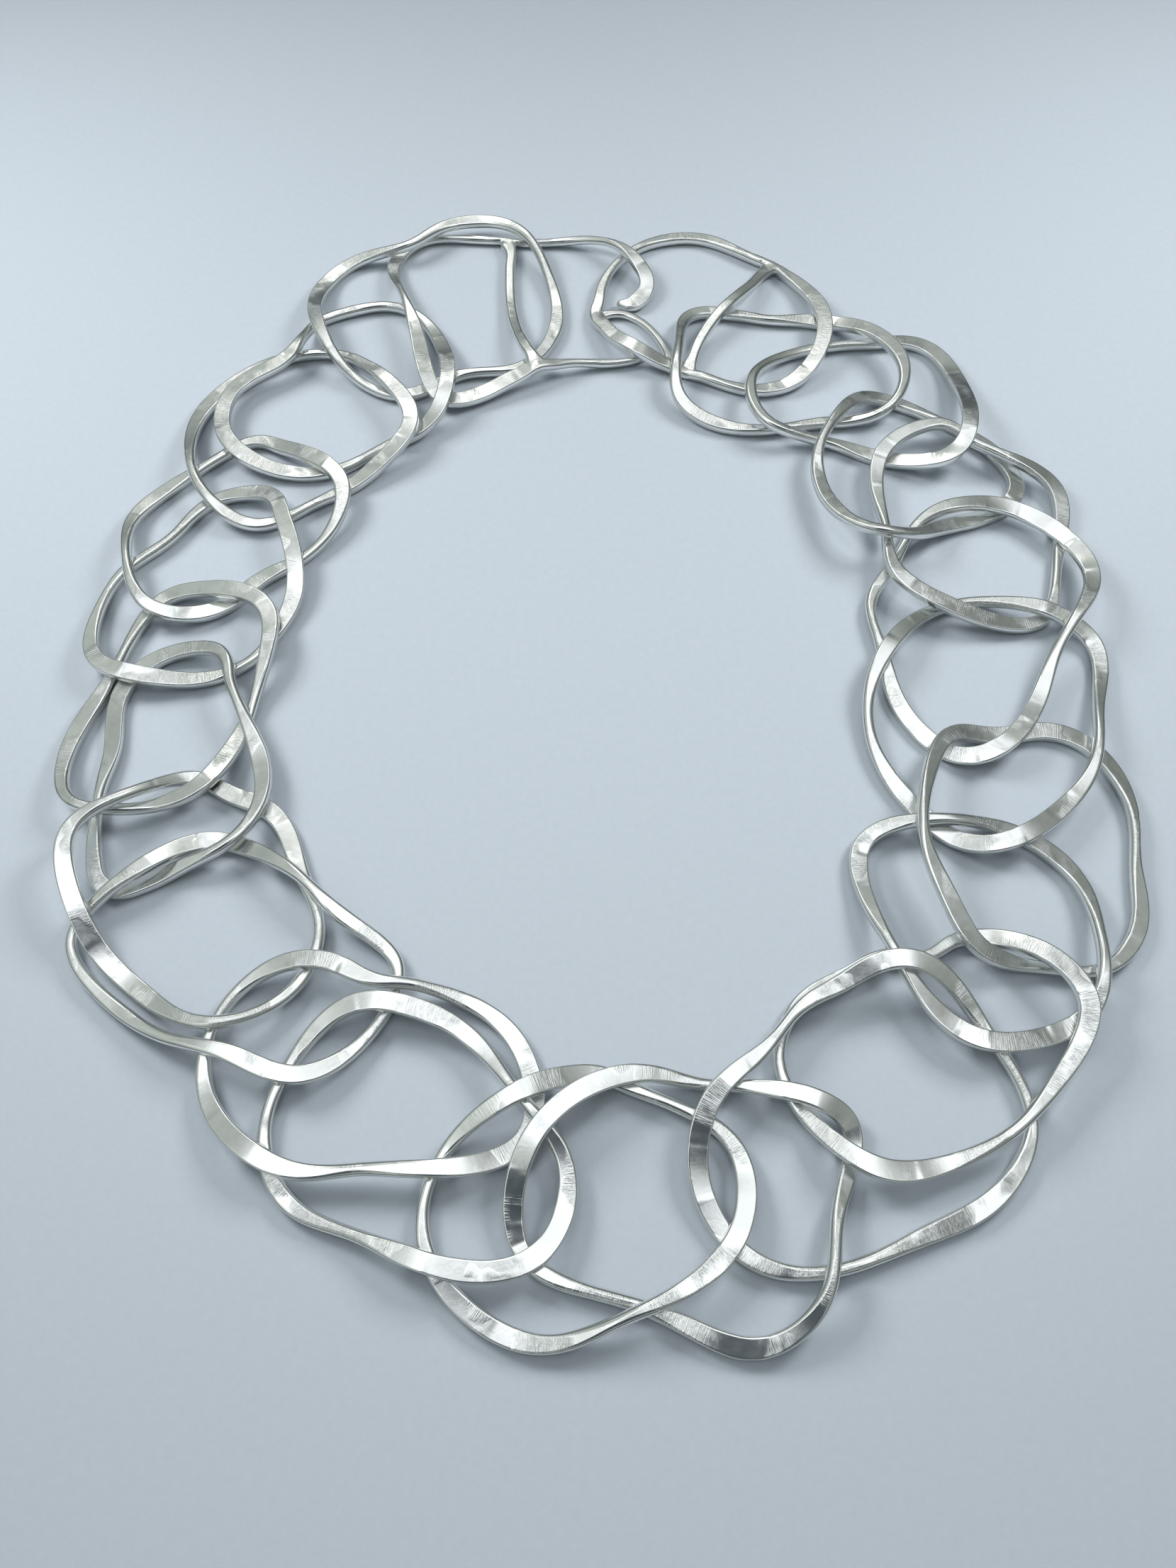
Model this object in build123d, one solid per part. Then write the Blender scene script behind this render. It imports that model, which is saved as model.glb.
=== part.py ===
"""A silver link chain necklace with a hook clasp, lying on a flat surface.

Every link is one closed wire, hammered flat along its bends and left narrow in
between, and passes through the next two links of the chain. The hook and the
catch are the end links: the same wire with a soldered strut, one open at a
hook, the other with a small eye. The surface is z = 0, and +Y points away from
someone who looks at the necklace with its clasp at the far side.

The routes of the wires are given as seen from above. How high each wire runs
is worked out from which wire lies over which, as wires that bend a little,
weigh a little and keep a clearance where they cross.
"""
from build123d import *
from collections import namedtuple
import os

import numpy as np

# Sizes, in millimetres.
WIRE_WIDTH = 1.7
WIRE_HEIGHT = 1.9
FLAT_WIDTH = 2.9
FLAT_HEIGHT = 1.4
HOOK_WIDTH = 1.4
HOOK_HEIGHT = 1.6
STRUT_WIDTH = 2.0
STRUT_HEIGHT = 1.6
EYE_WIDTH = 1.4
EYE_HEIGHT = 1.2
TIP_WIDTH = 1.1
LINK_REACH = 20.0
CLEARANCE = 0.3

# Sterling silver, in grams for each cubic millimetre.
SILVER_DENSITY = 0.01049

# How a wire is divided and shaped. The sides of its section slope in to
# FLAT_TOP_SHARE of the width at the top and the bottom. A narrow place is
# about twice NARROW_HOURS hours, or twice NARROW_SHARE of an open wire, long.
STATION_LENGTH = 3.3
FLAT_TOP_SHARE = 0.68
NARROW_HOURS = 1.1
NARROW_SHARE = 0.05

# How the wires lie on each other. Stiffness is against weight, each part of a
# wire between two stations is tested at so many places, a pair of wires changes
# sides over the middle TURNOVER_SHARE of the way between its two crossings, and
# a strut meets another wire only so near their crossing. The contacts get
# firmer step by step, and a step ends once no wire moves by SETTLED.
STIFFNESS = 10.0
PLACES_A_STATION = 3
TURNOVER_SHARE = 0.15
STRUT_CONTACT_LENGTH = 8.0
FIRMNESS_STEPS = (10, 30, 100, 300, 1000, 3000, 10000)
LEAST_FIRMNESS = 1e-4
ROUNDS_A_STEP = 12
SETTLED = 1e-4

# A clock face lies on each link, with 12 o'clock away from the viewer and then
# turned clockwise by turn degrees. Places and reaches are shares of LINK_REACH:
# place is the clock's middle, seen from the middle of the necklace, and reach
# is how far the middle of the wire is at 12, 1, 2 ... 11 o'clock. narrow lists
# the hours where the wire is left narrow. over_next and over_second say
# whether the link lies over the next link, and the one after, where they cross
# nearest the middle of the necklace: at their other crossing it lies under.
Link = namedtuple("Link", "name place turn reach narrow over_next over_second")
LINKS = [
    Link("clasp_catch", (1.3, 3.75), 25,
         (0.9, 0.9, 0.95, 1.0, 1.0, 0.85, 0.75, 0.9, 1.15, 1.25, 1.25, 1.1),
         (0, 5.5, 9.5), False, False),
    Link("link_01", (1.85, 3.2), 5,
         (0.55, 0.65, 0.85, 1.1, 1.1, 0.8, 0.8, 0.95, 1.1, 1.0, 1.05, 0.65),
         (4, 6, 9, 11.5), False, False),
    Link("link_02", (2.65, 2.65), 15,
         (0.85, 0.95, 0.85, 0.85, 0.9, 0.65, 0.55, 0.6, 1.05, 1.15, 0.95, 0.8),
         (7.5, 9.5, 11), False, False),
    Link("link_03", (2.95, 1.85), 10,
         (0.75, 0.7, 0.8, 0.9, 0.7, 0.6, 0.75, 0.9, 0.9, 0.9, 0.9, 0.95),
         (0.5, 6.5, 9.5), True, True),
    Link("link_04", (3.35, 1.2), 0,
         (1.1, 0.9, 0.95, 0.8, 0.8, 1.0, 0.9, 0.85, 0.85, 0.75, 0.9, 1.15),
         (0.5, 4, 9), True, True),
    Link("link_05", (3.3, 0.35), 10,
         (1.15, 1.15, 1.05, 0.75, 0.7, 0.95, 1.35, 1.15, 0.9, 0.9, 0.85, 1.05),
         (3.5, 8.5, 10.5), False, False),
    Link("link_06", (3.15, -0.45), 5,
         (0.95, 1.05, 1.2, 1.0, 1.05, 1.15, 1.3, 1.1, 0.95, 0.85, 0.8, 0.85),
         (0, 3.5, 8.5), False, False),
    Link("link_07", (3.4, -1.85), 5,
         (1.1, 1.15, 0.95, 0.8, 0.9, 0.95, 0.85, 0.9, 0.8, 0.85, 0.95, 1.15),
         (2.5, 5.5, 9.5), True, True),
    Link("link_08", (2.9, -2.35), 10,
         (0.8, 0.85, 0.9, 0.9, 1.0, 0.95, 0.9, 0.75, 0.7, 0.8, 1.0, 0.85),
         (3, 8, 11.5), True, False),
    Link("link_09", (2.35, -3.2), 20,
         (0.65, 1.05, 1.25, 1.0, 0.9, 0.9, 1.0, 1.0, 1.0, 0.8, 0.6, 0.6),
         (4, 8, 11.5), False, False),
    Link("link_10", (1.85, -3.7), 5,
         (0.9, 1.15, 1.15, 1.25, 1.1, 0.95, 1.05, 1.25, 1.2, 0.95, 0.7, 0.75),
         (2.5, 6, 10.5), True, True),
    Link("link_11", (0.75, -4.25), 10,
         (0.7, 0.85, 1.15, 0.95, 1.05, 1.05, 0.85, 0.9, 1.25, 1.2, 1.0, 0.8),
         (0, 3.5, 7), True, True),
    Link("link_12", (0, -4.25), 15,
         (0.75, 0.8, 1.05, 1.05, 0.9, 0.85, 1.0, 1.1, 1.15, 1.0, 0.8, 0.75),
         (1, 5, 8.5), True, True),
    Link("link_13", (-1.25, -4.0), 5,
         (0.95, 0.85, 0.85, 1.1, 1.15, 0.85, 0.65, 0.65, 0.85, 1.0, 1.05, 1.1),
         (2, 7, 9.5), True, True),
    Link("link_14", (-1.7, -3.45), 20,
         (0.65, 0.85, 1.2, 1.35, 0.9, 0.7, 0.75, 0.85, 1.0, 1.05, 0.95, 0.75),
         (0.5, 5, 9), True, True),
    Link("link_15", (-2.5, -2.6), 5,
         (0.75, 0.65, 0.7, 1.1, 1.1, 1.0, 0.75, 0.8, 1.0, 1.35, 1.1, 1.0),
         (1, 3.5, 7, 9), True, False),
    Link("link_16", (-2.95, -2.05), 20,
         (0.75, 0.75, 0.75, 1.0, 1.15, 1.1, 0.9, 0.85, 0.9, 1.05, 0.9, 0.9),
         (3, 4.5, 10), False, False),
    Link("link_17", (-3.3, -1.1), 20,
         (1.0, 0.7, 0.7, 0.8, 0.85, 0.85, 1.05, 0.7, 0.55, 0.55, 0.85, 1.1),
         (0.5, 4, 7.5), True, True),
    Link("link_18", (-3.3, -0.5), 10,
         (1.1, 1.0, 0.65, 0.55, 0.6, 0.8, 0.95, 1.15, 0.9, 0.7, 0.75, 1.05),
         (2.5, 6.5, 10), True, True),
    Link("link_19", (-3.2, 0.5), 25,
         (1.1, 0.8, 0.7, 0.65, 0.7, 0.75, 0.85, 1.05, 0.95, 0.85, 0.8, 1.1),
         (4, 8.5, 10), True, True),
    Link("link_20", (-3.05, 1.3), 5,
         (0.95, 0.9, 0.95, 0.8, 0.65, 0.6, 0.85, 1.1, 1.0, 0.95, 0.8, 0.8),
         (3.5, 8, 11), True, True),
    Link("link_21", (-2.6, 2.2), 20,
         (1.1, 1.0, 1.0, 0.75, 0.65, 0.7, 0.95, 1.0, 1.0, 1.05, 1.05, 1.1),
         (5, 7.5, 11.5), True, True),
    Link("link_22", (-2.2, 2.85), 0,
         (1.05, 1.1, 0.95, 0.9, 0.85, 0.75, 0.9, 1.1, 1.25, 1.05, 0.7, 0.9),
         (0.5, 5.5, 11), True, True),
    Link("link_23", (-1.5, 3.85), 10,
         (1.15, 1.3, 1.2, 1.2, 1.1, 0.85, 1.05, 1.1, 1.1, 1.15, 1.05, 0.85),
         (1.5, 4.5, 7, 11), False, False),
]

# The open wires of the clasp, by a few points each, also as shares of
# LINK_REACH from the middle of the necklace. HOOK_NARROW lists the places along
# the hook, from its tip, where it is left narrow.
HOOK_ROUTE = [(0.28, 3.98), (0.47, 3.99), (0.58, 4.18), (0.50, 4.42), (0.28, 4.66),
              (0.00, 4.79), (-0.45, 4.81), (-0.82, 4.83), (-1.35, 4.87), (-1.74, 4.79),
              (-1.92, 4.52), (-1.83, 4.08), (-1.63, 3.48), (-1.51, 2.99), (-1.35, 2.73),
              (-1.08, 2.76), (-0.75, 2.93), (-0.40, 3.09), (-0.02, 3.18), (0.38, 3.23),
              (0.62, 3.38)]
HOOK_NARROW = (0.16, 0.23, 0.3, 0.37, 0.53, 0.9, 0.96)
HOOK_STRUT = [(-0.77, 4.83), (-0.77, 4.22), (-0.72, 3.74), (-0.45, 3.07)]
CATCH_STRUT = [(1.78, 4.47), (1.45, 3.98), (1.18, 3.64), (0.97, 3.12)]
CATCH_EYE = [(0.13, 3.81), (0.40, 3.82), (0.62, 3.62), (0.77, 3.24)]

# Whether the first of two of these wires lies over the other where they cross
# nearest the middle of the necklace, and at their other crossing.
Order = namedtuple("Order", "wire other over_inside over_outside")
CLASP_ORDERS = [
    Order("hook", "clasp_catch", False, True),
    Order("hook_strut", "link_23", True, True),
    Order("catch_strut", "link_01", True, True),
]

# The wires that are soldered at both ends, each with the wire that carries it.
SOLDERED = {"hook_strut": "hook", "catch_strut": "clasp_catch", "catch_eye": "clasp_catch"}

# The wires of the two parts that have more than one.
CLASP_PARTS = {
    "clasp_hook": ("hook", "hook_strut"),
    "clasp_catch": ("clasp_catch", "catch_strut", "catch_eye"),
}

# A line of stations seen from above, with the width and height of the wire at
# each of them.
Strand = namedtuple("Strand", "name closed route width height")


def even_stations(points, closed):
    """Stations about STATION_LENGTH apart along the smooth curve through some points."""
    curve = Spline(*points, periodic=closed)
    count = round(curve.length / STATION_LENGTH)
    ends = 0 if closed else 1
    places = [curve.position_at(curve.length * i / count, position_mode=PositionMode.LENGTH)
              for i in range(count + ends)]
    return np.array([(place.X, place.Y) for place in places])


def blended(narrow, flat, flatness):
    """A size that goes from that of the narrow wire to that of the flat one."""
    return narrow + (flat - narrow) * flatness


def closed_strand(link):
    """The wire of one link."""
    middle = np.array(link.place) * LINK_REACH
    bearings = np.radians(90 - link.turn - 30 * np.arange(12))
    reaches = LINK_REACH * np.array(link.reach)
    spokes = np.column_stack([np.cos(bearings) * reaches, np.sin(bearings) * reaches])
    route = even_stations([tuple(point) for point in middle + spokes], True)
    away = route - middle
    hours = (90 - link.turn - np.degrees(np.arctan2(away[:, 1], away[:, 0]))) / 30
    flatness = np.ones(len(route))
    for hour in link.narrow:
        apart = (hours - hour + 6) % 12 - 6
        flatness *= 1 - np.exp(-(apart / NARROW_HOURS) ** 2)
    return Strand(link.name, True, route, blended(WIRE_WIDTH, FLAT_WIDTH, flatness),
                  blended(WIRE_HEIGHT, FLAT_HEIGHT, flatness))


def hook_strand():
    """The hook's wire, from its tip round the body of the clasp to its tail."""
    route = even_stations([(x * LINK_REACH, y * LINK_REACH) for x, y in HOOK_ROUTE], False)
    along = np.linspace(0, 1, len(route))
    flatness = np.ones(len(route))
    for share in HOOK_NARROW:
        flatness *= 1 - np.exp(-((along - share) / NARROW_SHARE) ** 2)
    width = blended(HOOK_WIDTH, FLAT_WIDTH, flatness)
    width[[0, -1]] = TIP_WIDTH
    return Strand("hook", False, route, width, blended(HOOK_HEIGHT, FLAT_HEIGHT, flatness))


def plain_strand(name, shares, width, height):
    """A plain wire soldered across a part of the clasp."""
    route = even_stations([(x * LINK_REACH, y * LINK_REACH) for x, y in shares], False)
    return Strand(name, False, route, np.full(len(route), width), np.full(len(route), height))


def all_orders():
    """Which of two wires lies over the other, for each pair that meets."""
    chain = [link.name for link in LINKS] + ["hook"]
    orders = list(CLASP_ORDERS)
    for i, link in enumerate(LINKS):
        for other, over in zip(chain[i + 1:i + 3], (link.over_next, link.over_second)):
            orders.append(Order(link.name, other, over, not over))
    return orders


def turn_between(a, b):
    """How far one direction seen from above is turned from another, times their lengths."""
    return a[..., 0] * b[..., 1] - a[..., 1] * b[..., 0]


def crossings(a, b):
    """Where two wires cross: nearest the middle of the necklace, and furthest from there."""
    p, q = a.route, b.route
    p_step = (np.roll(p, -1, axis=0) - p)[:None if a.closed else -1]
    q_step = (np.roll(q, -1, axis=0) - q)[:None if b.closed else -1]
    p, q = p[:len(p_step)], q[:len(q_step)]
    between = q[None] - p[:, None]
    turn = turn_between(p_step[:, None], q_step[None])
    turn[turn == 0] = np.finfo(float).tiny
    p_share = turn_between(between, q_step[None]) / turn
    q_share = turn_between(between, p_step[:, None]) / turn
    met = np.argwhere((p_share >= 0) & (p_share < 1) & (q_share >= 0) & (q_share < 1))
    points = [p[i] + p_share[i, j] * p_step[i] for i, j in met]
    if len(points) < 2:
        return points
    inner = min(points, key=lambda point: np.hypot(*point))
    return [inner, max(points, key=lambda point: np.hypot(*(point - inner)))]


def side_at(place, places, order):
    """1 where the order's first wire is over, -1 where it is under, 0 where neither is."""
    to_inner = np.hypot(*(places[0] - place))
    if len(places) == 1:
        if to_inner > STRUT_CONTACT_LENGTH:
            return 0
        return 1 if order.over_outside else -1
    to_outer = np.hypot(*(places[1] - place))
    if abs(to_inner - to_outer) < TURNOVER_SHARE * (to_inner + to_outer):
        return 0
    return 1 if (order.over_inside if to_inner < to_outer else order.over_outside) else -1


def contacts(a, b, order):
    """Rows of four stations, their shares, and the height needed by their sum.

    There is a row for each place of either wire that lies over or beside the
    other. The first two stations are of the wire on the upper side there.
    """
    places = crossings(a, b)
    if not places:
        return []
    rows = []
    for here, there, first in ((a, b, True), (b, a, False)):
        count = len(there.route)
        start = there.route[:None if there.closed else -1]
        step = (np.roll(there.route, -1, axis=0) - there.route)[:len(start)]
        for i in range(len(here.route) if here.closed else len(here.route) - 1):
            k = (i + 1) % len(here.route)
            along = here.route[k] - here.route[i]
            for share in np.arange(PLACES_A_STATION) / PLACES_A_STATION:
                place = here.route[i] + share * along
                across = np.clip(((place - start) * step).sum(1) / (step ** 2).sum(1), 0, 1)
                gaps = np.hypot(*(start + across[:, None] * step - place).T)
                j = int(gaps.argmin())
                m = (j + 1) % count
                slant = abs(along @ step[j]) / (np.hypot(*along) * np.hypot(*step[j]))
                sizes = [
                    (blended(strand.width[s], strand.width[e], part),
                     blended(strand.height[s], strand.height[e], part))
                    for strand, s, e, part in ((here, i, k, share), (there, j, m, across[j]))
                ]
                if gaps[j] > (sizes[0][0] * slant + sizes[1][0]) / 2 + CLEARANCE:
                    continue
                side = side_at(place, places, order) * (1 if first else -1)
                if side == 0:
                    continue
                mine = ((here.name, i, 1 - share), (here.name, k, share))
                theirs = ((there.name, j, 1 - across[j]), (there.name, m, across[j]))
                upper, lower = (mine, theirs) if side > 0 else (theirs, mine)
                rows.append((upper, lower, (sizes[0][1] + sizes[1][1]) / 2 + CLEARANCE))
    return rows


def settled_heights(strands):
    """The height of the middle of each wire at each of its stations.

    The least bent and lowest heights are sought, with a spring against each
    contact that is short. The springs are made firmer step by step.
    """
    first, total = {}, 0
    for strand in strands.values():
        first[strand.name] = total
        total += len(strand.route)
    bending = np.zeros((total, total))
    for strand in strands.values():
        count = len(strand.route)
        bend = np.roll(np.eye(count), 1, axis=1) - 2 * np.eye(count) + np.roll(np.eye(count), -1, axis=1)
        if not strand.closed:
            bend = bend[1:-1]
        own = slice(first[strand.name], first[strand.name] + count)
        bending[own, own] = STIFFNESS * bend.T @ bend

    stations, shares, needs, soldered = [], [], [], []
    for order in all_orders():
        for upper, lower, need in contacts(strands[order.wire], strands[order.other], order):
            stations.append([first[name] + station for name, station, share in upper + lower])
            shares.append([share for _, _, share in upper] + [-share for _, _, share in lower])
            needs.append(need)
            soldered.append(False)
    for strand in strands.values():
        for station, height in enumerate(strand.height):
            stations.append([first[strand.name] + station] * 4)
            shares.append([1, 0, 0, 0])
            needs.append(height / 2)
            soldered.append(False)
    for name, carrier in SOLDERED.items():
        for station in (0, len(strands[name].route) - 1):
            gaps = np.hypot(*(strands[carrier].route - strands[name].route[station]).T)
            stations.append([first[name] + station, first[carrier] + int(gaps.argmin()), 0, 0])
            shares.append([1, -1, 0, 0])
            needs.append(0)
            soldered.append(True)
    stations, shares = np.array(stations), np.array(shares, float)
    needs, soldered = np.array(needs, float), np.array(soldered)

    heights = np.full(total, FLAT_HEIGHT / 2)
    for firmness in FIRMNESS_STEPS:
        for _ in range(ROUNDS_A_STEP):
            short = needs - (shares * heights[stations]).sum(1)
            pressed = (short > 0) | soldered
            at, share = stations[pressed], shares[pressed]
            matrix = bending.copy()
            np.add.at(matrix, (at[:, :, None], at[:, None, :]),
                      firmness * share[:, :, None] * share[:, None, :])
            matrix[np.diag_indices(total)] += LEAST_FIRMNESS
            load = np.full(total, -1.0)
            np.add.at(load, at, firmness * share * needs[pressed][:, None])
            before, heights = heights, np.linalg.solve(matrix, load)
            if np.abs(heights - before).max() < SETTLED:
                break
    short = needs - (shares * heights[stations]).sum(1)
    print(f"contacts {len(needs)}, worst is {short[~soldered].max():.3f} mm short")
    return {name: heights[first[name]:first[name] + len(strand.route)]
            for name, strand in strands.items()}


def rings(strand, heights):
    """The six corners of the wire's section at each station."""
    line = np.column_stack([strand.route, heights])
    if strand.closed:
        along = np.roll(line, -1, axis=0) - np.roll(line, 1, axis=0)
    else:
        along = np.gradient(line, axis=0)
    along /= np.linalg.norm(along, axis=1)[:, None]
    side = np.column_stack([-along[:, 1], along[:, 0], np.zeros(len(line))])
    side /= np.linalg.norm(side, axis=1)[:, None]
    up = np.cross(along, side)
    section = [(1, 0), (FLAT_TOP_SHARE, 1), (-FLAT_TOP_SHARE, 1),
               (-1, 0), (-FLAT_TOP_SHARE, -1), (FLAT_TOP_SHARE, -1)]
    corners = [line + side * (x * strand.width / 2)[:, None] + up * (z * strand.height / 2)[:, None]
               for x, z in section]
    return np.stack(corners, axis=1)


def wire_solid(corners, closed):
    """One solid through the corners of a wire's sections, in flat triangles."""
    count, sides = corners.shape[:2]
    triangles = []
    for i in range(count if closed else count - 1):
        k = (i + 1) % count
        for side in range(sides):
            after = (side + 1) % sides
            a, b = corners[i, side], corners[i, after]
            c, d = corners[k, after], corners[k, side]
            triangles += [(a, b, c), (a, c, d)]
    faces = [Face(Wire.make_polygon([Vector(*point) for point in triangle])) for triangle in triangles]
    if not closed:
        faces += [Face(Wire.make_polygon([Vector(*point) for point in corners[end]])) for end in (0, -1)]
    solid = Solid(Shell(faces))
    return solid if solid.volume > 0 else Solid(solid.wrapped.Reversed())


strands = [closed_strand(link) for link in LINKS] + [
    hook_strand(),
    plain_strand("hook_strut", HOOK_STRUT, STRUT_WIDTH, STRUT_HEIGHT),
    plain_strand("catch_strut", CATCH_STRUT, STRUT_WIDTH, STRUT_HEIGHT),
    plain_strand("catch_eye", CATCH_EYE, EYE_WIDTH, EYE_HEIGHT),
]
strands = {strand.name: strand for strand in strands}
heights = settled_heights(strands)
corners = {name: rings(strand, heights[name]) for name, strand in strands.items()}
every_corner = np.concatenate([ring.reshape(-1, 3) for ring in corners.values()])
low, high = every_corner.min(axis=0), every_corner.max(axis=0)
foot = np.array([(low[0] + high[0]) / 2, (low[1] + high[1]) / 2, low[2]])
print("size", np.round(high - low, 2), "middle of the necklace at", np.round(-foot, 2))

os.makedirs("parts", exist_ok=True)
volume = 0
parts = {link.name: (link.name,) for link in LINKS}
parts.update(CLASP_PARTS)
for part, wires in parts.items():
    solids = [wire_solid(corners[wire] - foot, strands[wire].closed) for wire in wires]
    solid = solids[0].fuse(*solids[1:]) if len(solids) > 1 else solids[0]
    solid.label = part
    volume += solid.volume
    export_step(solid, f"parts/{part}.step")
print(f"volume {volume:.0f} mm3, silver {volume * SILVER_DENSITY:.1f} g")
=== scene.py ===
"""The silver link chain necklace, dressed for its photograph.

Each wire of the fixed frame is read back as its sections, a smooth curve is
laid through their middles, and a finely divided hammered wire is drawn along
it. Lengths are in metres.
"""
import math

import bmesh
import bpy
import numpy as np
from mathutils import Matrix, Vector


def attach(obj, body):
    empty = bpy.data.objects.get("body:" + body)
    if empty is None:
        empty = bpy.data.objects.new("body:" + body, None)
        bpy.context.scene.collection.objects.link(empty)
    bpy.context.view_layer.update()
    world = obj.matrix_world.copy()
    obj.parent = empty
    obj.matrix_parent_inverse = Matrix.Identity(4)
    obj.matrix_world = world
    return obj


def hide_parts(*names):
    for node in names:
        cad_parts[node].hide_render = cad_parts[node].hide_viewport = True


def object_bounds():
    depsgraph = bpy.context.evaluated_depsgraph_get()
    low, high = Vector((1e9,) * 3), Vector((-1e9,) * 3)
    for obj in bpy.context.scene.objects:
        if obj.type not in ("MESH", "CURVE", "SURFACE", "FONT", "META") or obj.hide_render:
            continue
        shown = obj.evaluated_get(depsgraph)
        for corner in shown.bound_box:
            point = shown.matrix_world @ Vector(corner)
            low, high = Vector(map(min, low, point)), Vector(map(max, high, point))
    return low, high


MM = 0.001

# The photograph: its width and focal length in pixels, and where it was taken
# from, seen from the middle of the necklace's loop.
PHOTO_WIDTH = 1659
FOCAL_LENGTH = 1662
CAMERA_BACK = 103 * MM
CAMERA_HEIGHT = 170 * MM
CAMERA_PITCH = math.radians(65)
LOOP_MIDDLE = (-1.27 * MM, 2.38 * MM)
SENSOR_WIDTH = 36
NEAREST_VIEW = 10 * MM

# How the wires are read back: a plain wire, a strut or the eye, is even in width,
# and the wires of a soldered piece are joined across gaps of a few stations, where
# both ends run this share of the gap towards each other.
SAME_PLACE = 0.001 * MM
EVEN_WIDTH = 0.15 * MM
STATION_LENGTH = 3.3 * MM
LONGEST_GAP = 14 * MM
FACING_SHARE = 0.6

# How finely a wire is divided along its length, and round each corner of its
# section. The other corners are places across the top and the bottom.
STEPS_A_STATION = 11
CORNER_STEPS = 4
TOP_PLACES = (0.94, 0.5, 0.0, -0.5, -0.94)
FOOT_PLACES = (-0.9, 0.0, 0.9)

# A narrow wire is nearly round and a hammered one a flat bar with swollen sides:
# their widths, and how round their edges are as a share of half the height, and
# at most of half the width.
NARROW_WIDTH = 1.6 * MM
FLAT_WIDTH = 2.9 * MM
NARROW_ROUNDNESS = 0.85
FLAT_ROUNDNESS = 0.3
MOST_OF_WIDTH = 0.95
SIDE_SWELL = 0.07 * MM

# The marks of the hammer on the flat top: how long a facet is and within what
# shares of that, how deep its ends and its edges may lie, and over what length it
# blends into the next.
FACET_LENGTH = 7 * MM
FACET_SHARES = (0.5, 1.6)
FACET_DEPTH = 0.16 * MM
FACET_TILT = 0.08 * MM
FACET_BLEND = 0.35 * MM

# A wire rolls a little to either side. Its width is at most WIDTH_SHARE of its
# section's, and changes by WIDTH_CHANGE of that along its length.
ROLL_ANGLE = math.radians(2)
ROLL_WAVE = 14 * MM
WIDTH_SHARE = 1.09
WIDTH_CHANGE = 0.05
WIDTH_WAVE = 9 * MM

# The ends of a closed wire meet in a slight seam, of about one step each way. An
# open end is rounded off, up to TIP_ROUNDING of its tip's length.
SEAM_DEPTH = 0.05
SEAM_SPREAD = 0.8
TIP_LENGTH = 0.7 * MM
TIP_ROUNDING = 0.98

# The solder at a joint: the size of its drop and its height as a share of that, how
# far round it the metal is smoothed, how often and how much, and how much wider,
# and over what length, the end of the soldered wire flares into it.
SOLDER_RADIUS = 1.25 * MM
SOLDER_FLATNESS = 0.62
SOLDER_DIVISIONS = 4
SOLDER_REACH = 2.6 * MM
SOLDER_ROUNDS = 12
SOLDER_SMOOTHING = 0.5
FLARE = 0.7
FLARE_LENGTH = 2.2 * MM

# The silver: the marks of a brush, by how close they are along and round the wire,
# show only in patches. Clouds and a fine grain lie over all of it. Each of the
# three is a bump with a strength and a height.
BRUSH_SCALE = (5.0, 0.12, 1.0)
BRUSH_BUMP = (0.6, 0.15 * MM)
PATCH_SCALE = 140.0
PATCH_EDGES = (0.5, 0.6)
CLOUD_SCALE = 500.0
CLOUD_BUMP = (0.25, 0.05 * MM)
GRAIN_SCALE = 2600.0
GRAIN_BUMP = (0.15, 0.02 * MM)
SILVER_ROUGHNESS = (0.13, 0.27)
SILVER_COLOURS = (0.78, 0.79, 0.75), (0.96, 0.965, 0.95)

# The surface that the necklace lies on, just under it.
SURFACE_SIZE = 6
SURFACE_DEPTH = 0.02 * MM
SURFACE_ROUGHNESS = 0.8
SURFACE_SCALE = 900.0
SURFACE_COLOURS = (0.40, 0.445, 0.495), (0.46, 0.505, 0.555)

# The room by the height of a direction, from the dark foot of its walls to the
# white ceiling. It is scaled from its left to its right, and by soft clouds: each
# has the range of values that it goes over, and the scale at both ends.
ROOM_COLOURS = (
    (0.20, (0.07, 0.08, 0.085)),
    (0.50, (0.26, 0.29, 0.28)),
    (0.76, (0.33, 0.36, 0.345)),
    (0.89, (0.46, 0.49, 0.485)),
    (0.94, (1.20, 1.25, 1.30)),
)
ROOM_SIDES = {"from_min": -0.6, "from_max": 0.6, "to_min": 1.5, "to_max": 0.8}
ROOM_CLOUDS = {"from_min": 0.35, "from_max": 0.65, "to_min": 0.75, "to_max": 1.3}
ROOM_CLOUD_SCALE = 3.0

# Patches of the room: the middle of each and its reach as directions, and its
# colour. The dark one is where the camera hangs over the surface. Their edges are
# soft, from the first share of the reach to the second.
ROOM_PATCHES = (
    ((-0.12, 0.67, 0.73), (0.15, 0.14, 0.3), (2.0, 2.0, 2.0)),
    ((0.20, 0.45, 0.87), (0.12, 0.14, 0.3), (1.2, 1.25, 1.3)),
    ((0.0, -0.42, 0.87), (0.36, 0.44, 0.5), (0.05, 0.065, 0.08)),
)
ROOM_PATCH_EDGES = (1.06, 0.94)

# Two soft lamps light the surface from either side, most of all in its middle.
# The metal shows the room and the surface instead of them.
LAMPS = {"lamp_left": (-0.27, 0.19, 0.21), "lamp_right": (0.27, 0.21, 0.22)}
LAMP_AIM = (0.0, -0.08, 0.0)
LAMP_SIZE = 0.13
LAMP_SPREAD = math.radians(100)
LAMP_RADIANCE = 8.2

# Pieces whose flats lean: the run to the right and away from the camera of a
# direction square to them, as shares of its rise.
LEANS = {
    "clasp_hook": (0.10, 0.0),
    "clasp_catch": (-0.06, 0.05),
    "link_05": (-0.12, -0.10),
    "link_06": (-0.10, -0.08),
    "link_23": (-0.07, -0.20),
}

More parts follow.
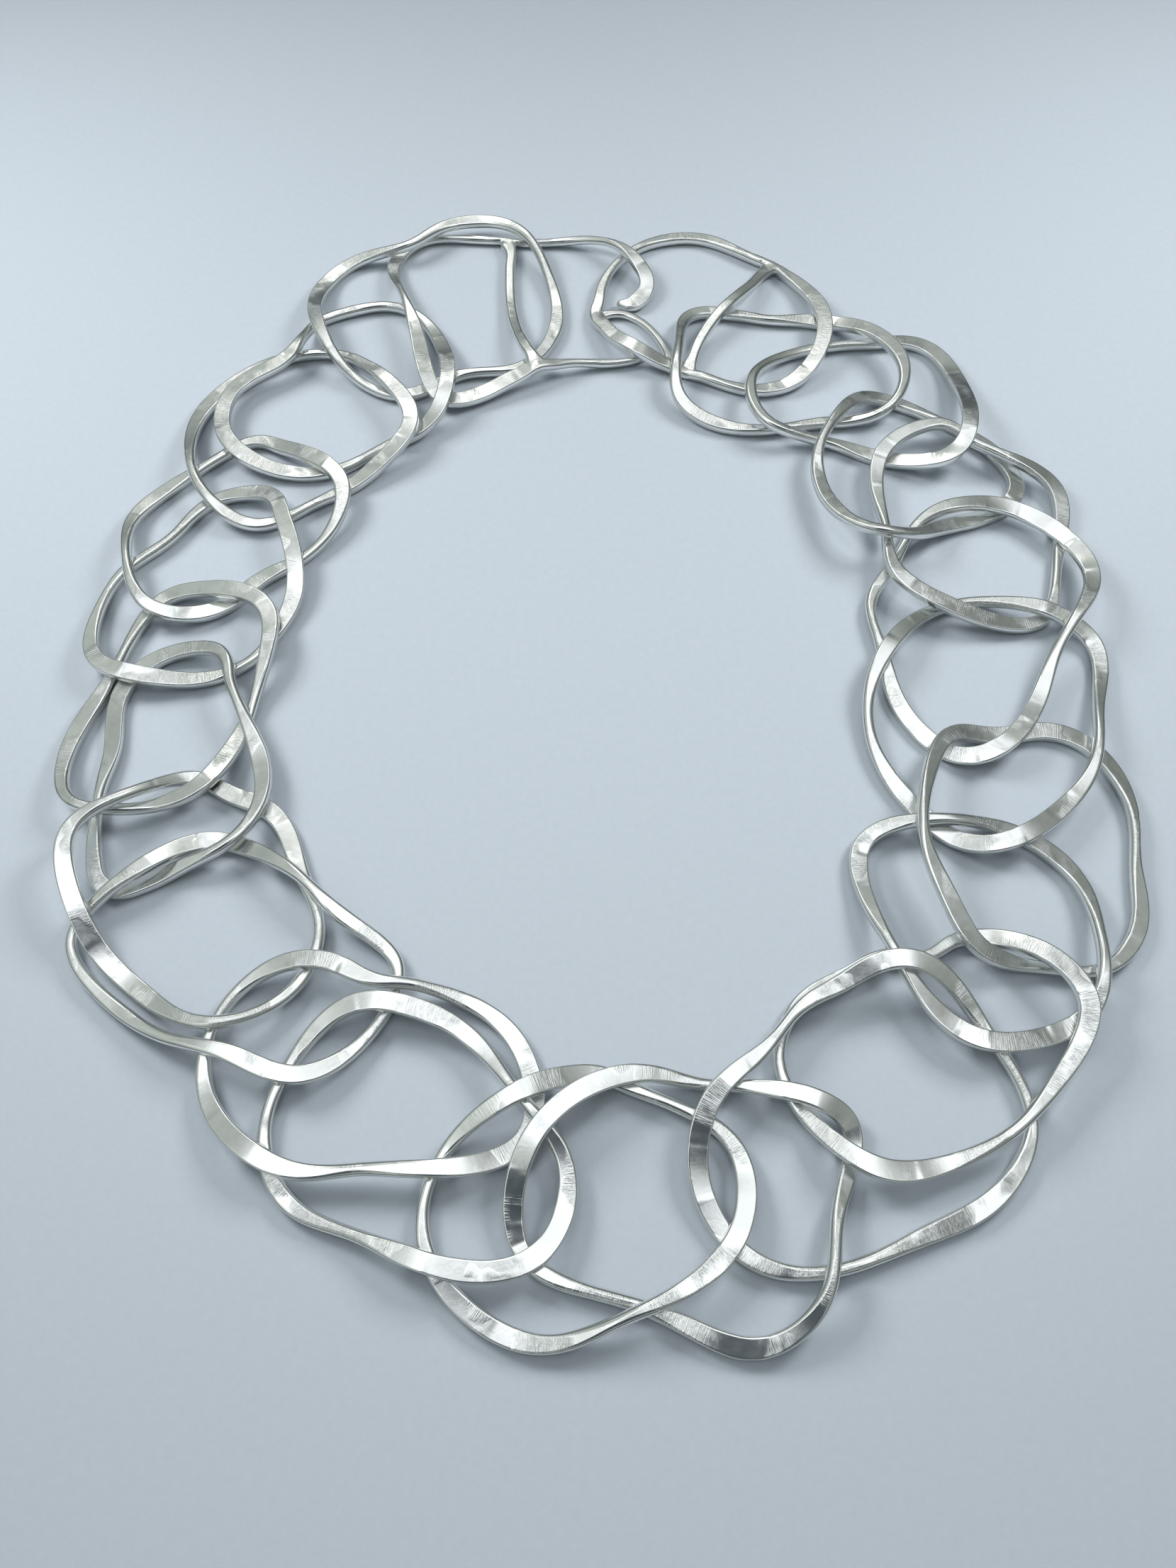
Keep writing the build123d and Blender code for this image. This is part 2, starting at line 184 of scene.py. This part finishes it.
# The map of the way along a wire, in millimetres, and of the corners round it.
WIRE_MAP = "along_and_around"

rng = np.random.default_rng(7)


# Reading the wires back from the frame

def ordered_neighbours(bm):
    """The neighbours of each vertex, in order round it."""
    fans = {}
    for vert in bm.verts:
        follows = {loop.link_loop_next.vert: loop.link_loop_prev.vert for loop in vert.link_loops}
        fan = [vert.link_edges[0].other_vert(vert)]
        while follows[fan[-1]] is not fan[0]:
            fan.append(follows[fan[-1]])
        fans[vert] = fan
    return fans


def find_rings(fans):
    """Every section of six corners: a straight line that comes back after six steps."""
    rings = {}
    for vert, fan in fans.items():
        for first in fan[:3] if len(fan) == 6 else []:
            ring, before, here = [vert], vert, first
            while len(ring) < 6 and len(fans[here]) == 6:
                ring.append(here)
                onward = fans[here]
                before, here = here, onward[(onward.index(before) + 3) % 6]
            if here is vert and len(ring) == 6:
                rings[frozenset(ring)] = ring
    return rings


def rings_beside(fans, ring):
    """The two groups of vertices next to a ring, where each is a ring or an open end."""
    groups = []
    for way in (1, -1):
        group = set()
        for vert, after in zip(ring, ring[1:] + ring[:1]):
            place = fans[vert].index(after)
            group.update(fans[vert][(place + way * step) % 6] for step in (1, 2))
        linked = all(sum(other in group for other in fans[vert]) == 2 for vert in group)
        open_end = all(group.union(ring).issuperset(fans[vert]) for vert in group)
        if len(group) == 6 and (linked or open_end):
            groups.append(frozenset(group))
    return groups


def is_plain(rows):
    """Whether a run is of a strut or the eye, which are even wires."""
    return np.ptp(rows[:, 3]) < EVEN_WIDTH


def measured(ring, along):
    """The middle, width and height of a section that lies across a direction."""
    points = np.array([tuple(vert.co) for vert in ring])
    side = np.array([-along[1], along[0], 0.0])
    side /= np.linalg.norm(side)
    up = np.cross(along / np.linalg.norm(along), side)
    away = points - points.mean(axis=0)
    return [*points.mean(axis=0), np.ptp(away @ side), np.ptp(away @ up)]


def directions(middles, closed):
    """The direction of a line at each of its points."""
    if closed:
        along = np.roll(middles, -1, axis=0) - np.roll(middles, 1, axis=0)
    else:
        along = np.gradient(middles, axis=0)
    return along / np.linalg.norm(along, axis=1)[:, None]


def read_runs(node):
    """The runs of whole sections in a node, each with whether it is closed."""
    bm = bmesh.new()
    bm.from_mesh(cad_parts[node].data)
    bmesh.ops.remove_doubles(bm, verts=bm.verts, dist=SAME_PLACE)
    fans = ordered_neighbours(bm)
    rings = find_rings(fans)
    beside = {key: rings_beside(fans, ring) for key, ring in rings.items()}
    runs, seen = [], set()
    for key in rings:
        if key in seen:
            continue
        seen.add(key)
        run = [key]
        for _ in range(2):
            while onward := [ring for ring in beside.get(run[-1], []) if ring not in seen]:
                run.append(onward[0])
                seen.add(onward[0])
            run.reverse()
        if len(run) > 2:
            closed = len(run) > 3 and run[-1] in beside.get(run[0], [])
            middles = np.array([np.mean([tuple(vert.co) for vert in ring], axis=0) for ring in run])
            rows = [measured(*pair) for pair in zip(run, directions(middles, closed))]
            runs.append((closed, np.array(rows)))
    bm.free()
    return runs


def bridge(a, b):
    """Sections for the gap from the end of one run to the start of another."""
    gap = np.linalg.norm(b[0, :3] - a[-1, :3])
    count = round(gap / STATION_LENGTH)
    share = (np.arange(1, count) / count)[:, None]
    start = a[-1] + (a[-1] - a[-2]) * count * share
    end = b[0] + (b[0] - b[1]) * count * (1 - share)
    blend = share ** 2 * (3 - 2 * share)
    rows = start * (1 - blend) + end * blend
    rows[:, 3:] = a[-1, 3:] * (1 - share) + b[0, 3:] * share
    return rows


def end_match(a, b):
    """The gap from the end of one run to the start of another that it faces, or None."""
    reach = b[0, :3] - a[-1, :3]
    gap = np.linalg.norm(reach)
    ends = a[-1, :3] - a[-2, :3], b[1, :3] - b[0, :3]
    facing = min(end @ reach / np.linalg.norm(end) for end in ends)
    return gap if 0 < gap < LONGEST_GAP and facing > FACING_SHARE * gap else None


def joined_runs(runs):
    """Runs of one node, joined end to end across its soldered joints."""
    whole = [run for run in runs if run[0] or is_plain(run[1])]
    parts = [rows for closed, rows in runs if not closed and not is_plain(rows)]
    while len(parts) > 1:
        choices = []
        for i, a in enumerate(parts):
            for j, b in enumerate(parts):
                for one in (a, a[::-1]) if i < j else ():
                    for other in (b, b[::-1]):
                        gap = end_match(one, other)
                        if gap is not None:
                            choices.append((gap, i, j, one, other))
        if not choices:
            break
        _, i, j, one, other = min(choices, key=lambda choice: choice[0])
        parts = [rows for k, rows in enumerate(parts) if k not in (i, j)]
        parts.append(np.concatenate([one, bridge(one, other), other]))
    for rows in parts:
        closed = end_match(rows, rows) is not None
        if closed:
            rows = np.concatenate([rows, bridge(rows, rows)])
        whole.append((closed, rows))
    return whole


def read_wires(node):
    """The wires of a node: for each, whether it is closed, and its sections."""
    wires = joined_runs(read_runs(node))
    carriers = np.concatenate([rows for closed, rows in wires if closed or not is_plain(rows)])
    soldered = []
    for closed, rows in wires:
        if not closed and is_plain(rows):
            for _ in range(2):
                seat = carriers[np.linalg.norm(carriers[:, :3] - rows[-1, :3], axis=1).argmin()]
                seat = np.concatenate([seat[:3], rows[-1, 3:]])
                rows = np.concatenate([rows, [seat]])[::-1]
        soldered.append((closed, rows))
    return soldered


# Drawing a wire

def spline_controls(rows, closed):
    """The controls of the cubic B-spline that passes through some rows."""
    count = len(rows)
    matrix = np.zeros((count, count))
    for i in range(count):
        if closed or 0 < i < count - 1:
            matrix[i, [i - 1, i, (i + 1) % count]] = 1 / 6, 4 / 6, 1 / 6
        else:
            matrix[i, i] = 1
    return np.linalg.solve(matrix, rows)


def smooth_rows(rows, closed):
    """Closely spaced rows along the smooth curve through a few."""
    controls = spline_controls(rows, closed)
    if closed:
        controls = np.concatenate([controls[-1:], controls, controls[:2]])
    else:
        controls = np.concatenate([2 * controls[:1] - controls[1:2], controls,
                                   2 * controls[-1:] - controls[-2:-1]])
    t = np.arange(STEPS_A_STATION) / STEPS_A_STATION
    basis = np.stack([(1 - t) ** 3, 3 * t ** 3 - 6 * t ** 2 + 4,
                      -3 * t ** 3 + 3 * t ** 2 + 3 * t + 1, t ** 3], axis=1) / 6
    fine = np.concatenate([basis @ controls[i:i + 4] for i in range(len(controls) - 3)])
    return fine if closed else np.concatenate([fine, rows[-1:]])


def blunted(values, lengths, closed):
    """Values along a wire, with each sudden change spread over FACET_BLEND."""
    reach = max(1, round(FACET_BLEND / lengths.mean()))
    kernel = np.hanning(2 * reach + 3)[1:-1]
    padded = np.pad(values, reach, "wrap" if closed else "edge")
    return np.convolve(padded, kernel / kernel.sum(), "valid")


def facets(lengths, closed):
    """How deep each section lies under the hammer's marks, and how it tilts.

    The depth goes from 0 to 1 in straight lines, one for each facet. The tilt
    is from -1 to 1 and even over a facet.
    """
    total = lengths.sum()
    ends = [0.0]
    while ends[-1] < total:
        ends.append(ends[-1] + FACET_LENGTH * rng.uniform(*FACET_SHARES))
    ends[-1] = total
    places = np.cumsum(lengths) - lengths
    depths = rng.uniform(0, 1, len(ends))
    tilts = rng.uniform(-1, 1, len(ends))
    if closed:
        depths[-1] = depths[0]
    depth = np.interp(places, ends, depths)
    tilt = tilts[np.searchsorted(ends, places, side="right") - 1]
    return blunted(depth, lengths, closed), blunted(tilt, lengths, closed)


def slow_wave(lengths, wave):
    """A slow random wave along a wire, from about -1 to 1, that closes on itself."""
    total = lengths.sum()
    places = (np.cumsum(lengths) - lengths) / total
    value = np.zeros(len(lengths))
    turns = max(2, round(total / wave))
    for k in range(1, turns + 1):
        value += rng.normal() * np.cos(2 * np.pi * (k * places + rng.random())) / math.sqrt(turns)
    return value


def outlines(widths, heights, flatness):
    """The corners of each section, across and up, going round from its right side."""
    roundness = NARROW_ROUNDNESS + (FLAT_ROUNDNESS - NARROW_ROUNDNESS) * flatness
    swell = SIDE_SWELL * flatness
    half, rise = widths / 2 - swell, heights / 2
    radius = np.minimum(roundness * rise, MOST_OF_WIDTH * half)
    quarter = np.linspace(0, math.pi / 2, CORNER_STEPS + 1)
    x, z = [half + swell], [np.zeros(len(widths))]
    for start, right, top, places in ((0, 1, 1, TOP_PLACES), (1, -1, 1, ()),
                                      (2, -1, -1, FOOT_PLACES), (3, 1, -1, ())):
        for angle in quarter + start * math.pi / 2:
            x.append(right * (half - radius) + radius * math.cos(angle))
            z.append(top * (rise - radius) + radius * math.sin(angle))
        for place in places:
            x.append(place * (half - radius))
            z.append(top * rise)
        if start == 1:
            x.append(-half - swell)
            z.append(np.zeros(len(widths)))
    return np.stack(x, axis=1), np.stack(z, axis=1)


def tube_mesh(name, points, places, closed):
    """A mesh through rings of points, with a map of the way along and round it."""
    count, sides = points.shape[:2]
    around = np.arange(sides)
    ring = (np.arange(count if closed else count - 1) * sides)[:, None]
    after = (ring + sides) % (count * sides)
    onward = np.roll(around, -1)
    corners = [ring + around, ring + onward, after + onward, after + around]
    faces = np.stack(corners, axis=2).reshape(-1, 4).tolist()
    here, side = np.meshgrid(places[:-1], around, indexing="ij")
    there = np.meshgrid(places[1:], around, indexing="ij")[0]
    uvs = np.stack([here, side, here, side + 1, there, side + 1, there, side], axis=2)
    uvs = uvs[:len(ring)].reshape(-1, 2).tolist()
    if not closed:
        faces += [around[::-1].tolist(), ((count - 1) * sides + around).tolist()]
        uvs += [(places[0], place) for place in around[::-1]] + [(places[-1], place) for place in around]
    mesh = bpy.data.meshes.new(name)
    mesh.from_pydata(points.reshape(-1, 3).tolist(), [], faces)
    layer = mesh.uv_layers.new(name=WIRE_MAP)
    layer.data.foreach_set("uv", np.array(uvs, float).ravel())
    mesh.polygons.foreach_set("use_smooth", [True] * len(mesh.polygons))
    mesh.update()
    return mesh


def drawn_widths(rows, lengths, closed):
    """The uneven widths that a wire is drawn with, flared where a plain one is soldered."""
    wave = np.clip(slow_wave(lengths, WIDTH_WAVE), -1, 1)
    widths = rows[:, 3] * (WIDTH_SHARE - WIDTH_CHANGE * (1 + wave) / 2)
    if not closed and is_plain(rows):
        to_end = np.minimum(np.cumsum(lengths) - lengths, np.cumsum(lengths[::-1])[::-1] - lengths)
        widths = widths * (1 + FLARE * np.exp(-(to_end / FLARE_LENGTH) ** 2))
    return widths


def end_shares(lengths, closed):
    """The size of each section, as a share, for a closed wire's seam or an open one's tips."""
    if closed:
        away = np.arange(len(lengths)) - rng.integers(len(lengths))
        return 1 - SEAM_DEPTH * np.exp(-away ** 2 / SEAM_SPREAD)
    places = np.cumsum(lengths) - lengths
    short = np.clip(1 - np.minimum(places, places[::-1]) / TIP_LENGTH, 0, TIP_ROUNDING)
    return np.sqrt(1 - short ** 2)


def wire_mesh(name, closed, rows, normal, lean):
    """A mesh of one wire from its sections, with its flat side facing along a normal.

    The top face leans from there, lowered only, so the wire keeps in its place.
    """
    rows = smooth_rows(rows, closed)
    middles, heights = rows[:, :3], rows[:, 4, None]
    lengths = np.linalg.norm(np.roll(middles, -1, axis=0) - middles, axis=1)
    if not closed:
        lengths[-1] = lengths[-2]
    along = directions(middles, closed)
    side = np.cross(normal, along)
    side /= np.linalg.norm(side, axis=1)[:, None]
    up = np.cross(along, side)

    flatness = np.clip((rows[:, 3] - NARROW_WIDTH) / (FLAT_WIDTH - NARROW_WIDTH), 0, 1)
    x, z = outlines(drawn_widths(rows, lengths, closed), rows[:, 4], flatness)
    depth, tilt = (values[:, None] for values in facets(lengths, closed))
    slope = FACET_TILT * tilt / x.max() + (side[:, :2] @ lean)[:, None]
    lowered = FACET_DEPTH * depth + np.abs(slope) * x.max(axis=1)[:, None] + slope * x
    z -= lowered * flatness[:, None] * np.clip(2 * z / heights, 0, 1)
    shares = end_shares(lengths, closed)[:, None]
    x, z = x * shares, z * shares
    roll = (ROLL_ANGLE * slow_wave(lengths, ROLL_WAVE))[:, None]
    x, z = x * np.cos(roll) - z * np.sin(roll), x * np.sin(roll) + z * np.cos(roll)
    points = middles[:, None] + x[:, :, None] * side[:, None] + z[:, :, None] * up[:, None]
    points = np.clip(points, cad_box[0], cad_box[1])
    return tube_mesh(name, points, np.concatenate([[0], np.cumsum(lengths)]) / MM, closed)


def new_piece(name, mesh):
    piece = bpy.data.objects.new(name, mesh)
    bpy.context.scene.collection.objects.link(piece)
    return piece


def fused(piece, tool):
    """Fuses another object into a piece, and removes it."""
    modifier = piece.modifiers.new("fuse", "BOOLEAN")
    modifier.operation = "UNION"
    modifier.solver = "EXACT"
    modifier.object = tool
    graph = bpy.context.evaluated_depsgraph_get()
    mesh = bpy.data.meshes.new_from_object(piece.evaluated_get(graph), depsgraph=graph)
    piece.modifiers.clear()
    piece.data = mesh
    bpy.data.objects.remove(tool)


def solder(place):
    """A small drop of solder."""
    bm = bmesh.new()
    bmesh.ops.create_icosphere(bm, subdivisions=SOLDER_DIVISIONS, radius=SOLDER_RADIUS)
    for vert in bm.verts:
        vert.co.z *= SOLDER_FLATNESS
        vert.co += place
        vert.co.z = max(vert.co.z, cad_box[0][2])
    mesh = bpy.data.meshes.new("solder")
    bm.to_mesh(mesh)
    bm.free()
    mesh.polygons.foreach_set("use_smooth", [True] * len(mesh.polygons))
    return new_piece("solder", mesh)


def softened(piece, places):
    """Smooths a piece round its soldered joints, most of all close to them."""
    bm = bmesh.new()
    bm.from_mesh(piece.data)
    for reach in np.linspace(SOLDER_REACH, SOLDER_RADIUS, SOLDER_ROUNDS):
        near = [vert for vert in bm.verts if min((vert.co - place).length for place in places) < reach]
        bmesh.ops.smooth_vert(bm, verts=near, factor=SOLDER_SMOOTHING,
                              use_axis_x=True, use_axis_y=True, use_axis_z=True)
    bm.to_mesh(piece.data)
    bm.free()


def plane_normal(rows):
    """The upward normal of the plane that some sections lie nearest to."""
    away = rows[:, :3] - rows[:, :3].mean(axis=0)
    normal = np.linalg.svd(away, full_matrices=False)[2][2]
    return normal * np.sign(normal[2])


def dressed(node):
    """The piece that stands for a node of the frame."""
    wires = read_wires(node)
    wires.sort(key=lambda wire: -len(wire[1]))
    normal = plane_normal(wires[0][1])
    lean = LEANS.get(node, (0.0, 0.0))
    piece, *struts = [new_piece(node + "_wire", wire_mesh(node, closed, rows, normal, lean))
                      for closed, rows in wires]
    joints = [Vector(place[:3]) for _, rows in wires[1:] for place in (rows[0], rows[-1])]
    for strut in struts:
        fused(piece, strut)
    for joint in joints:
        fused(piece, solder(joint))
    if joints:
        softened(piece, joints)
    return piece


# Materials

def add(tree, kind, **values):
    """A new node, with some of its properties set, or of its inputs by their names."""
    node = tree.nodes.new(kind)
    for key, value in values.items():
        if key in node.bl_rna.properties:
            setattr(node, key, value)
        else:
            node.inputs[key.replace("_", " ").title()].default_value = value
    return node


def noise(tree, vector, **values):
    """A noise over a vector."""
    node = add(tree, "ShaderNodeTexNoise", **values)
    tree.links.new(vector, node.inputs["Vector"])
    return node.outputs[0]


def ranged(tree, value, **values):
    """A value taken from one range to another."""
    node = add(tree, "ShaderNodeMapRange", **values)
    tree.links.new(value, node.inputs["Value"])
    return node.outputs[0]


def bumped(tree, height, bump):
    """A bump node with its strength and its distance."""
    node = add(tree, "ShaderNodeBump", strength=bump[0], distance=bump[1])
    tree.links.new(height, node.inputs["Height"])
    return node


def tinted(tree, share, colours):
    """A colour between two."""
    node = add(tree, "ShaderNodeMix", data_type="RGBA")
    for socket, colour in zip(node.inputs[6:8], colours):
        socket.default_value = (*colour, 1)
    tree.links.new(share, node.inputs[0])
    return node.outputs[2]


def new_material(name, **values):
    """A material of one shader: the material, its nodes and the shader's inputs."""
    material = bpy.data.materials.new(name)
    material.use_nodes = True
    tree = material.node_tree
    tree.nodes.clear()
    shader = add(tree, "ShaderNodeBsdfPrincipled", **values)
    tree.links.new(shader.outputs[0], add(tree, "ShaderNodeOutputMaterial").inputs[0])
    return material, tree, shader.inputs


def silver():
    """Hammered and brushed silver."""
    material, tree, inputs = new_material("hammered_silver", metallic=1.0)
    link = tree.links.new
    where = add(tree, "ShaderNodeTexCoord").outputs["Object"]
    clouds = noise(tree, where, scale=CLOUD_SCALE, detail=4.0, roughness=0.6)
    grain = noise(tree, where, scale=GRAIN_SCALE, detail=3.0, roughness=0.6)

    # The marks of the brush, which run across the wire
    across = add(tree, "ShaderNodeMapping", scale=BRUSH_SCALE)
    link(add(tree, "ShaderNodeUVMap", uv_map=WIRE_MAP).outputs[0], across.inputs[0])
    lines = noise(tree, across.outputs[0], scale=1.0, detail=3.0, roughness=0.6)
    patches = noise(tree, where, scale=PATCH_SCALE, detail=2.0)
    marks = add(tree, "ShaderNodeMath", operation="MULTIPLY")
    link(lines, marks.inputs[0])
    link(ranged(tree, patches, from_min=PATCH_EDGES[0], from_max=PATCH_EDGES[1]), marks.inputs[1])

    brushed = bumped(tree, marks.outputs[0], BRUSH_BUMP)
    clouded = bumped(tree, clouds, CLOUD_BUMP)
    grained = bumped(tree, grain, GRAIN_BUMP)
    link(brushed.outputs[0], clouded.inputs["Normal"])
    link(clouded.outputs[0], grained.inputs["Normal"])
    link(grained.outputs[0], inputs["Normal"])
    gloss = ranged(tree, clouds, to_min=SILVER_ROUGHNESS[0], to_max=SILVER_ROUGHNESS[1])
    link(gloss, inputs["Roughness"])
    link(tinted(tree, clouds, SILVER_COLOURS), inputs["Base Color"])
    return material


def surface():
    """The pale surface that the necklace lies on."""
    material, tree, inputs = new_material("pale_surface", roughness=SURFACE_ROUGHNESS)
    where = add(tree, "ShaderNodeTexCoord").outputs["Object"]
    grain = noise(tree, where, scale=SURFACE_SCALE, detail=4.0, roughness=0.7)
    tree.links.new(tinted(tree, grain, SURFACE_COLOURS), inputs["Base Color"])
    return material


# The scene

def build_lamp(name, place):
    """A flat soft lamp that faces the necklace."""
    data = bpy.data.lights.new(name, "AREA")
    data.size = LAMP_SIZE
    data.spread = LAMP_SPREAD
    data.energy = LAMP_RADIANCE * math.pi * LAMP_SIZE ** 2
    lamp = bpy.data.objects.new(name, data)
    bpy.context.scene.collection.objects.link(lamp)
    lamp.location = place
    lamp.rotation_euler = (Vector(LAMP_AIM) - lamp.location).to_track_quat("-Z", "Y").to_euler()
    lamp.visible_camera = False
    lamp.visible_glossy = False


def build_room():
    """The room round the surface: grey walls, a white ceiling and a few patches."""
    world = bpy.data.worlds.new("soft_room")
    bpy.context.scene.world = world
    world.use_nodes = True
    tree = world.node_tree
    link = tree.links.new
    direction = add(tree, "ShaderNodeTexCoord").outputs["Generated"]
    apart = add(tree, "ShaderNodeSeparateXYZ")
    link(direction, apart.inputs[0])

    walls = add(tree, "ShaderNodeValToRGB")
    walls.color_ramp.interpolation = "EASE"
    stops = walls.color_ramp.elements
    for _ in ROOM_COLOURS[2:]:
        stops.new(0.5)
    for stop, (place, colour) in zip(stops, ROOM_COLOURS):
        stop.position = place
        stop.color = (*colour, 1)
    link(apart.outputs["Z"], walls.inputs[0])

    colour = walls.outputs[0]
    sides = ranged(tree, apart.outputs["X"], **ROOM_SIDES)
    clouds = ranged(tree, noise(tree, direction, scale=ROOM_CLOUD_SCALE, detail=1.0), **ROOM_CLOUDS)
    for scale in (sides, clouds):
        scaled = add(tree, "ShaderNodeVectorMath", operation="SCALE")
        link(colour, scaled.inputs[0])
        link(scale, scaled.inputs["Scale"])
        colour = scaled.outputs[0]

    for middle, reach, patch_colour in ROOM_PATCHES:
        patch = add(tree, "ShaderNodeMapping", vector_type="TEXTURE", scale=reach)
        patch.inputs["Location"].default_value = middle
        link(direction, patch.inputs[0])
        distance = add(tree, "ShaderNodeVectorMath", operation="LENGTH")
        link(patch.outputs[0], distance.inputs[0])
        inside = ranged(tree, distance.outputs["Value"], interpolation_type="SMOOTHSTEP",
                        from_min=ROOM_PATCH_EDGES[0], from_max=ROOM_PATCH_EDGES[1])
        mixed = add(tree, "ShaderNodeMix", data_type="RGBA")
        mixed.inputs[7].default_value = (*patch_colour, 1)
        link(inside, mixed.inputs[0])
        link(colour, mixed.inputs[6])
        colour = mixed.outputs[2]
    link(colour, tree.nodes["Background"].inputs[0])


def build_floor():
    bpy.ops.mesh.primitive_plane_add(size=SURFACE_SIZE, location=(0, 0, -SURFACE_DEPTH))
    floor = bpy.context.object
    floor.name = "floor"
    floor.data.materials.append(surface())


def build_camera():
    """The camera that took the photograph."""
    data = bpy.data.cameras.new("camera")
    data.sensor_fit = "HORIZONTAL"
    data.sensor_width = SENSOR_WIDTH
    data.lens = SENSOR_WIDTH * FOCAL_LENGTH / PHOTO_WIDTH
    data.clip_start = NEAREST_VIEW
    camera = bpy.data.objects.new("camera", data)
    bpy.context.scene.collection.objects.link(camera)
    camera.location = (LOOP_MIDDLE[0], LOOP_MIDDLE[1] - CAMERA_BACK, CAMERA_HEIGHT)
    camera.rotation_euler = (math.pi / 2 - CAMERA_PITCH, 0, 0)
    bpy.context.scene.camera = camera


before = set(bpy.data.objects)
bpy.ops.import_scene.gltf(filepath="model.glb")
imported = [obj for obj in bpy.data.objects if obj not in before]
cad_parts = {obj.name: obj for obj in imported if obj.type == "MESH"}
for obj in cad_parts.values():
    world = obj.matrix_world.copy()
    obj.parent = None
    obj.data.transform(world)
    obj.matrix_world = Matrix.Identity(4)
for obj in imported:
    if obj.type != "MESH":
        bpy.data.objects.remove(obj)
cad_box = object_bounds()
metal = silver()
for node in sorted(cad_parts):
    piece = dressed(node)
    piece.data.materials.clear()
    piece.data.materials.append(metal)
    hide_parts(node)
    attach(piece, "root")
build_floor()
build_room()
for name, place in LAMPS.items():
    build_lamp(name, place)
build_camera()
bpy.context.scene.view_settings.view_transform = "Standard"
